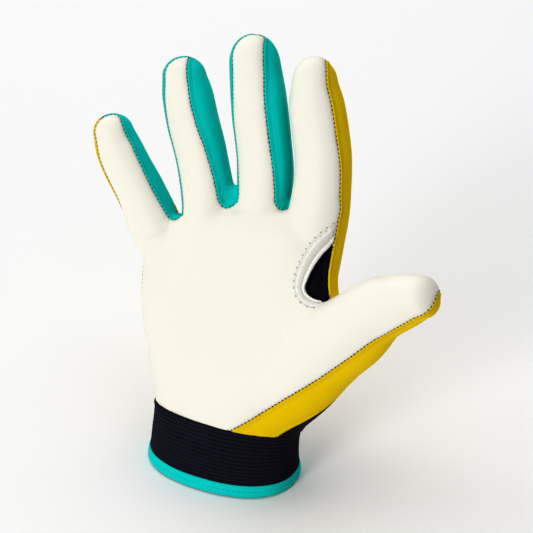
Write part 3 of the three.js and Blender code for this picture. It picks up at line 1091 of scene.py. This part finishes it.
def elastic_material(name, colour):
    """Ribbed elastic of matt yarn, with painted light on its rib crests and painted shade in the
    grooves
    """
    shader = Shader(name, 0.1)
    along, across, rib = shader.axes(shader.attribute("weave", "Vector"))
    yarn = (across * (2 * math.pi / 0.9) + along.waves(1.6)).sine()
    fuzz = shader.noise(0.0012, 3)
    # Painted light and shade: lighter on the rib crests and darker in the grooves between them,
    # mixed with the yarn's random fuzz
    tone = shader.mix(fuzz * 0.6 + rib * 0.4, shade(colour, 0.4), shade(colour, 3.4))
    return shader.finish(tone, fuzz * 0.15 + 0.7, yarn * 0.05 + fuzz * 0.12)


def floor_material():
    """Matt backdrop paper"""
    shader = Shader("floor")
    tone = shader.mix(shader.noise(0.4) * 0.3, (0.93, 0.93, 0.93, 1), (0.9, 0.9, 0.9, 1))
    return shader.finish(tone, 0.9)


# Pieces


def ring_grid(bm, rows):
    """A grid round the wrist, with its vertices' shares up it and angles round it"""
    bm.verts.layers.float_vector.new("weave")
    made, share, side = grid_of(bm, rows, AROUND)
    return made, share, side * math.pi


def place_ring(bm, made, points, threads):
    """Moves a grid's vertices to points, notes their threads and joins its two edges"""
    weave = bm.verts.layers.float_vector["weave"]
    for vert, point, thread in zip(made, points, threads):
        vert.co = point
        vert[weave] = thread
    bmesh.ops.remove_doubles(bm, verts=made, dist=0.0005)
    bmesh.ops.recalc_face_normals(bm, faces=bm.faces)


def ring_noise(angle, turns, height):
    """Noise round the wrist, at heights that change it"""
    return np.array([noise.noise(Vector((math.sin(a) * turns, math.cos(a) * turns, h)))
                     for a, h in zip(angle, height)])


def make_cuff():
    """Ribbed elastic from under the hem tape to the palm, with a rolled and overcast upper edge"""
    settings = glove()
    bm = bmesh.new()
    made, share, angle = ring_grid(bm, settings.ribs * FACES_PER_RIB)
    bumps = 0.07 * np.sin(angle * 70) + 0.07 * np.sin(angle * 23 + 1) + 0.06 * np.sin(angle * 97)
    top = np.interp(CUFF_HIGH, HAND.centre[:, 2], HAND.at) - 0.9 + bumps
    place = CUFF_LOW + share * (top - CUFF_LOW)
    wander = ring_noise(angle, 2, share * 3)
    phase = 2 * math.pi * (settings.ribs * share + 0.16 * wander)
    ridge = 1 - np.abs(np.sin(phase / 2)) ** 1.5
    ribs = 0.25 * ridge * (1 - smooth_step((share - 0.9) / 0.04))
    roll = 0.5 * hump(share, 0.95, 0.035)
    overcast = 0.09 * np.sin(angle * 84 + share * 40) * smooth_step((share - 0.9) / 0.03)
    curl = 1.6 * smooth_step((share - 0.975) / 0.025)
    rise = ribs + roll + overcast - curl + 0.2 * wander
    # The rib crests go into the weave's third value, which the elastic's material turns into
    # painted light on the crests and painted shade in the grooves
    place_ring(bm, made, HAND.surface(place, angle, -rise), zip(place, angle * CUFF_RADIUS, ridge))
    material = elastic_material("ribbed_elastic", settings.black)
    piece = sewn_piece(bm, "cuff", CUFF_CLOTH, material, "cuff_elastic")


def make_hem():
    """Tape folded over the wrist opening, with one row of stitches"""
    settings = glove()
    half = HEM_HEIGHT * 0.4
    bm = bmesh.new()
    made, share, angle = ring_grid(bm, HEM_ROWS)
    turn = np.radians(85 - 350 * share)
    outward = power_of(np.cos(turn), 0.55)
    upward = power_of(np.sin(turn), 0.6)
    wavy = 0.12 * ring_noise(angle, 2.5, np.ones(len(angle)))
    dip = 0.16 * hump(upward, 0, 0.18) * (outward > 0)
    rise = -0.4 + outward + wavy - dip
    points = HAND.surface(np.maximum(half + half * upward, 0), angle, -rise)
    place_ring(bm, made, points, zip(share * HEM_WIDTH, angle * CUFF_RADIUS, 0 * angle))
    material = tape_material("hem_tape", settings.tape, settings.tape)
    piece = sewn_piece(bm, "hem_binding", HEM_CLOTH, material, "hem_tape")
    angle = np.linspace(-math.pi, math.pi, 800)
    line = Line(HAND.surface(np.full(len(angle), half), angle, -0.5), 0)
    _, spots = line.stepped(settings.pitch / MM * 1.3, 0.5)
    bm = bmesh.new()
    stitch_row(bm, spots, HEM_STITCH, lambda spot, way: (spot, way.cross(Vector((0, 0, 1)))))
    stitches = thread_piece(bm, "hem", shade(settings.tape, 0.5), "hem_tape")


def on_palm(right, up, high):
    """The place on the palm at a spot in the cutout's axes, lifted off it"""
    start = CUTOUT_MIDDLE + VIEW_RIGHT * right + VIEW_UP * up
    hit, normal, _, _ = skin().tree.ray_cast(start + VIEW_BACK * ABOVE_PALM, -VIEW_BACK)
    if hit is None:
        hit, normal, _, _ = skin().tree.find_nearest(start)
    return hit + (normal * 0.5 + VIEW_BACK * 0.5) * high


def tape_spots(stations, at, share):
    """Spots on the tape, at places along it and shares across it from its outer edge"""
    edges = curve_through(stations, np.array(TAPE_ROWS, float), at)
    return blend(edges[:, :2], edges[:, 2:], share)


def make_binding():
    """The tape round the cutout, laid on the palm, with its inner edge turned down"""
    rows = np.array(TAPE_ROWS, float)
    stations = travelled((rows[:, :2] + rows[:, 2:]) / 2)
    length = stations[-1]
    bm = bmesh.new()
    weave = bm.verts.layers.float_vector.new("weave")
    made, along, side = grid_of(bm, *TAPE_GRID)
    at = along * length
    share = (side + 1) / 2
    gather = np.cos(2 * math.pi * at / TAPE_PITCH)
    scallop = 0.05 * gather * hump(share, 0, 0.2)
    spread = tape_spots(stations, at, (share - scallop)[:, None])
    height = 0.75 * smooth_step(share / 0.07)
    height -= (0.3 - 0.22 * gather) * hump(share, 0.1, 0.06)
    height -= 0.4 * hump(share, 0.64, 0.05)
    height += 0.4 * hump(share, 0.82, 0.1) + 0.05 * gather
    height *= 0.2 + 0.8 * smooth_step(at / 2) * smooth_step((length - at) / 2)
    height -= 1.4 * smooth_step((share - 0.93) / 0.07)
    # Lighter towards the turned inner edge; the band near the outer edge is a painted highlight on
    # the ridge there
    rolled = smooth_step((share - 0.68) / 0.06) + 0.8 * hump(share, 0.22, 0.1)
    for vert, spot, high, *thread in zip(made, spread, height, at, share * TAPE_WIDTH, rolled):
        vert.co = on_palm(*spot, high)
        vert[weave] = thread
    bmesh.ops.smooth_vert(bm, verts=bm.verts, factor=0.3, use_axis_x=True, use_axis_y=True,
                          use_axis_z=True)
    bmesh.ops.recalc_face_normals(bm, faces=bm.faces)
    if sum(face.normal.dot(VIEW_BACK) for face in bm.faces) < 0:
        bmesh.ops.reverse_faces(bm, faces=bm.faces)
    material = tape_material("web_tape", (0.87, 0.86, 0.78), (0.95, 0.94, 0.9))
    piece = sewn_piece(bm, "web_binding", TAPE_CLOTH, material, "web_tape")
    bm = bmesh.new()
    # The outer row's wide dark dots are stitches and also painted shade in the needle dimples
    # beside the tape
    for row in TAPE_STITCHES:
        at = np.arange(TAPE_PITCH / 2, length, TAPE_PITCH * row.pitch)
        places = [on_palm(*spot, row.lift) for spot in tape_spots(stations, at, row.share)]
        stitch_row(bm, np.array(places), row.size, lambda spot, way: (spot, VIEW_BACK))
    stitches = thread_piece(bm, "web", (0.56, 0.54, 0.45), "web_tape")


def on_skin(spot, along):
    """The place on the skin nearest to a spot, and the way out of it"""
    place, outward, _, _ = skin().tree.find_nearest(spot)
    return place + outward * SEAM_LIFT, outward


def make_stitches(name, slot, *panels):
    """Thread along the seams between a panel and others, as one piece"""
    bm = bmesh.new()
    pitch = glove().pitch / MM
    for names, line in skin().seams:
        if len(names) < 2 or names[0] not in panels or "web_insert" in names:
            continue
        of_yoke = names[1] == "wrist_yoke"
        if line.length > SHORT_SEAM and of_yoke == (name == "yoke_seam"):
            _, spots = line.stepped(pitch, pitch / 2)
            stitch_row(bm, spots, SEAM_STITCH, on_skin)
    return thread_piece(bm, name, glove().thread, slot)


def add_light(name, place, aim, size, power):
    data = bpy.data.lights.new(name, "AREA")
    data.size = size
    data.energy = power
    light = linked(name, data)
    light.location = place
    light.rotation_euler = (place - aim).to_track_quat("Z", "Y").to_euler()


def make_floor():
    """Pale floor just under the glove"""
    bm = bmesh.new()
    bmesh.ops.create_grid(bm, x_segments=1, y_segments=1, size=FLOOR_HALF)
    mesh = from_bmesh(bm, "floor")
    mesh.materials.append(floor_material())
    floor = linked("floor", mesh)
    floor.location.z = -FLOOR_DROP
    floor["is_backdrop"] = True


def make_camera():
    """The camera, at the photograph's viewing angle"""
    data = bpy.data.cameras.new("camera")
    data.lens = FOCAL_PIXELS / PICTURE_PIXELS * SENSOR
    camera = linked("camera", data)
    place = Matrix((VIEW_RIGHT, VIEW_UP, VIEW_BACK)).transposed().to_4x4()
    place.translation = CAMERA_PLACE
    camera.matrix_world = place
    bpy.context.scene.camera = camera


def make_light():
    """A soft key light from the left, a wide light above, and pale surroundings"""
    scene = bpy.context.scene
    middle = Vector((0, 0.02, 0.09))
    place = middle - VIEW_RIGHT * 0.72 - VIEW_UP * 0.15 + VIEW_BACK * 1.05
    add_light("key", place, middle, 0.4, 6)
    add_light("top", middle + Vector((-0.4, 0.9, 1.6)), middle + Vector((-0.1, 0.9, 0)), 3, 33)
    world = bpy.data.worlds.new("world")
    world.use_nodes = True
    background = world.node_tree.nodes["Background"].inputs
    background["Color"].default_value = (1, 1, 1, 1)
    background["Strength"].default_value = 0.12
    scene.world = world
    scene.view_settings.view_transform = "Standard"
    scene.view_settings.look = "High Contrast"


# Add-on


class GloveSettings(bpy.types.PropertyGroup):
    voxel: FloatProperty(
        name="Face size", description="Size of the faces of the skin", default=0.0009,
        unit="LENGTH")
    cloth: FloatProperty(
        name="Cloth", description="Thickness of the palm and cloth", default=0.0013,
        unit="LENGTH")
    seam_depth: FloatProperty(
        name="Seam depth", description="How far a seam is pressed in", default=0.00025,
        unit="LENGTH")
    pitch: FloatProperty(
        name="Stitch pitch", description="Distance from stitch to stitch", default=0.0018,
        unit="LENGTH")
    ribs: IntProperty(name="Ribs", description="Ribs up the cuff", default=15)
    palm: FloatVectorProperty(
        name="Palm", description="Colour of the palm", default=(0.89, 0.865, 0.77),
        subtype="COLOR")
    back: FloatVectorProperty(
        name="Back", description="Colour of the back", default=(0.95, 0.66, 0.0),
        subtype="COLOR")
    sides: FloatVectorProperty(
        name="Sides", description="Colour of the finger sides", default=(0.0, 0.69, 0.65),
        subtype="COLOR")
    black: FloatVectorProperty(
        name="Black", description="Colour of cuff, yoke and insert", default=(0.008, 0.008, 0.014),
        subtype="COLOR")
    tape: FloatVectorProperty(
        name="Hem tape", description="Colour of the hem", default=(0.0, 0.78, 0.73),
        subtype="COLOR")
    thread: FloatVectorProperty(
        name="Thread", description="Colour of the seam stitches", default=(0.03, 0.025, 0.02),
        subtype="COLOR")


class GLOVE_OT_palm(bpy.types.Operator):
    """Makes the palm panel"""
    bl_idname = "glove.palm"
    bl_label = "Palm"

    def execute(self, context):
        stitches = make_stitches("palm_seam", "palm_skin", "palm")
        material = palm_material("palm_skin", glove().palm)
        make_panel("palm", material, "palm_skin", (0.155, 0.172), 0.0152, stitches)
        return {"FINISHED"}


class GLOVE_OT_back(bpy.types.Operator):
    """Makes the back panel"""
    bl_idname = "glove.back"
    bl_label = "Back"

    def execute(self, context):
        stitches = make_stitches("back_seam", "back_cloth", "back")
        material = knit_material("back_knit", glove().back)
        make_panel("back", material, "back_cloth", (0.16, 0.172), 0.0162, stitches)
        return {"FINISHED"}


class GLOVE_OT_sides(bpy.types.Operator):
    """Makes the strips between the fingers"""
    bl_idname = "glove.sides"
    bl_label = "Finger sides"

    def execute(self, context):
        material = knit_material("side_knit", glove().sides)
        make_panel("fourchette_little_ring", material, "side_cloth", (0.018, 0.118), 0.0018)
        make_panel("fourchette_ring_middle", material, "side_cloth", (0.02, 0.132), 0.0022)
        make_panel("fourchette_middle_index", material, "side_cloth", (0.019, 0.126), 0.0019)
        return {"FINISHED"}


class GLOVE_OT_web(bpy.types.Operator):
    """Makes the insert behind the cutout and its binding"""
    bl_idname = "glove.web"
    bl_label = "Cutout"

    def execute(self, context):
        material = knit_material("insert_mesh", glove().black, 0.9, 0.06)
        make_panel("web_insert", material, "insert_mesh", (0.014, 0.026), 0.00024)
        make_binding()
        return {"FINISHED"}


class GLOVE_OT_wrist(bpy.types.Operator):
    """Makes the yoke, the cuff and the hem"""
    bl_idname = "glove.wrist"
    bl_label = "Wrist"

    def execute(self, context):
        stitches = make_stitches("yoke_seam", "yoke_cloth", "back", "palm")
        material = knit_material("yoke_knit", glove().black)
        make_panel("wrist_yoke", material, "yoke_cloth", (0.106, 0.034), 0.0031, stitches)
        make_cuff()
        make_hem()
        return {"FINISHED"}


class GLOVE_OT_stage(bpy.types.Operator):
    """Makes the floor, the lights and the camera"""
    bl_idname = "glove.stage"
    bl_label = "Stage"

    def execute(self, context):
        make_floor()
        make_camera()
        make_light()
        return {"FINISHED"}


OPERATORS = (GLOVE_OT_palm, GLOVE_OT_back, GLOVE_OT_sides, GLOVE_OT_web, GLOVE_OT_wrist,
             GLOVE_OT_stage)


class GLOVE_PT_panel(bpy.types.Panel):
    """Sizes, colours and building steps"""
    bl_label = "Glove"
    bl_idname = "GLOVE_PT_panel"
    bl_space_type = "VIEW_3D"
    bl_region_type = "UI"
    bl_category = "Glove"

    def draw(self, context):
        for name in GloveSettings.__annotations__:
            self.layout.prop(context.scene.glove, name)
        for operator in OPERATORS:
            self.layout.operator(operator.bl_idname)


CLASSES = (GloveSettings, *OPERATORS, GLOVE_PT_panel)


def register():
    for item in CLASSES:
        bpy.utils.register_class(item)
    bpy.types.Scene.glove = PointerProperty(type=GloveSettings)


def unregister():
    del bpy.types.Scene.glove
    for item in reversed(CLASSES):
        bpy.utils.unregister_class(item)


def main():
    register()
    bpy.ops.glove.palm()
    bpy.ops.glove.back()
    bpy.ops.glove.sides()
    bpy.ops.glove.web()
    bpy.ops.glove.wrist()
    bpy.ops.glove.stage()
    bounds = {"cad": CAD_BOUNDS, "visual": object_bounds()}
    {name: [list(corner) for corner in box] for name, box in bounds.items()}


if __name__ == "__main__":
    main()
